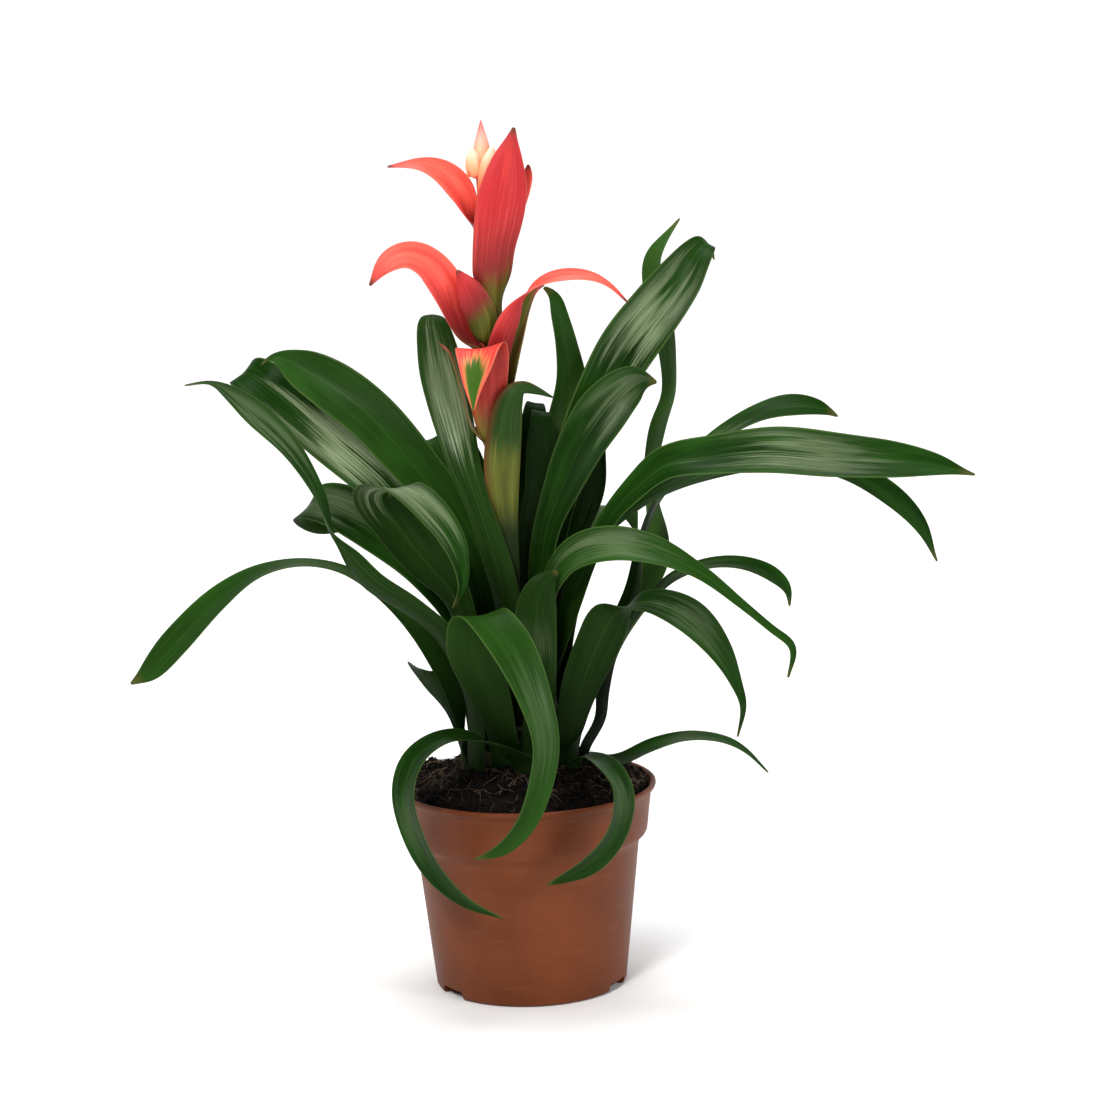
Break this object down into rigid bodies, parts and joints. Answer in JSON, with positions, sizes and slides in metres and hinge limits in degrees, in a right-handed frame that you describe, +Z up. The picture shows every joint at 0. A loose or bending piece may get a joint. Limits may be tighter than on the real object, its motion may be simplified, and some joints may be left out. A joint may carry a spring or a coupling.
{
  "type": "potted guzmania bromeliad",
  "caption": "Bromeliad in flower: strappy arching green leaves round a tall stalk of red bracts, in a flared terracotta-coloured plastic nursery pot with a collar.",
  "frame": {"origin": "middle of the pot base, on the surface the pot stands on", "axes": "+Z up, -Y towards the front that the picture shows, +X to its right"},
  "size_m": [0.4104, 0.2279, 0.4315],
  "materials": {
    "pot": "thin moulded terracotta-coloured plastic, slightly mottled and satin",
    "soil": "dark crumbly peat with pale fibres",
    "stem": "dull olive-brown stem with the marks of its leaf bases",
    "stalk": "fleshy green stalk flushed with red",
    "bud": "smooth fleshy bud, cream at the foot and pink at the tip",
    "leaf": "leathery glossy deep green blade with fine lengthwise streaks and a greyer underside",
    "bract": "satin scarlet to coral blade, olive green towards the foot",
    "head_bract": "satin cream and orange blade"
  },
  "bodies": {
    "root": {"bract_back_high": "bract", "bract_back_low": "bract", "bract_front_folded": "bract", "bract_front_upright": "bract", "bract_leaf_front": "bract", "bract_middle_front": "bract", "bract_middle_left": "bract", "bract_narrow_left": "bract", "bract_right_arch": "bract", "bract_right_back": "bract", "bract_right_crumpled": "bract", "bract_upper_left": "bract", "bud": "bud", "head_bract_back": "head_bract", "head_bract_front": "head_bract", "head_bract_left": "head_bract", "head_bract_right": "head_bract", "leaf_arch_front_right": "leaf", "leaf_back_broad": "leaf", "leaf_back_droop": "leaf", "leaf_back_left": "leaf", "leaf_back_low": "leaf", "leaf_back_middle": "leaf", "leaf_back_side": "leaf", "leaf_back_tall": "leaf", "leaf_behind_centre": "leaf", "leaf_behind_right": "leaf", "leaf_bent_right": "leaf", "leaf_broad_left": "leaf", "leaf_broad_right": "leaf", "leaf_broad_upper_left": "leaf", "leaf_dark_centre": "leaf", "leaf_folded_front_left": "leaf", "leaf_folded_left": "leaf", "leaf_front_arch": "leaf", "leaf_front_centre": "leaf", "leaf_hanging_right": "leaf", "leaf_hooked_right": "leaf", "leaf_horizontal_right": "leaf", "leaf_long_left": "leaf", "leaf_low_left": "leaf", "leaf_low_right": "leaf", "leaf_pot_left": "leaf", "leaf_pot_right": "leaf", "leaf_small_right": "leaf", "leaf_tall_right": "leaf", "leaf_tip_left": "leaf", "leaf_top_left": "leaf", "leaf_twisted_left": "leaf", "leaf_upright_right": "leaf", "leaf_upright_striped": "leaf", "leaf_wavy_right": "leaf", "pot": "pot", "soil": "soil", "stalk": "stalk", "stem": "stem"}
  },
  "joints": []
}
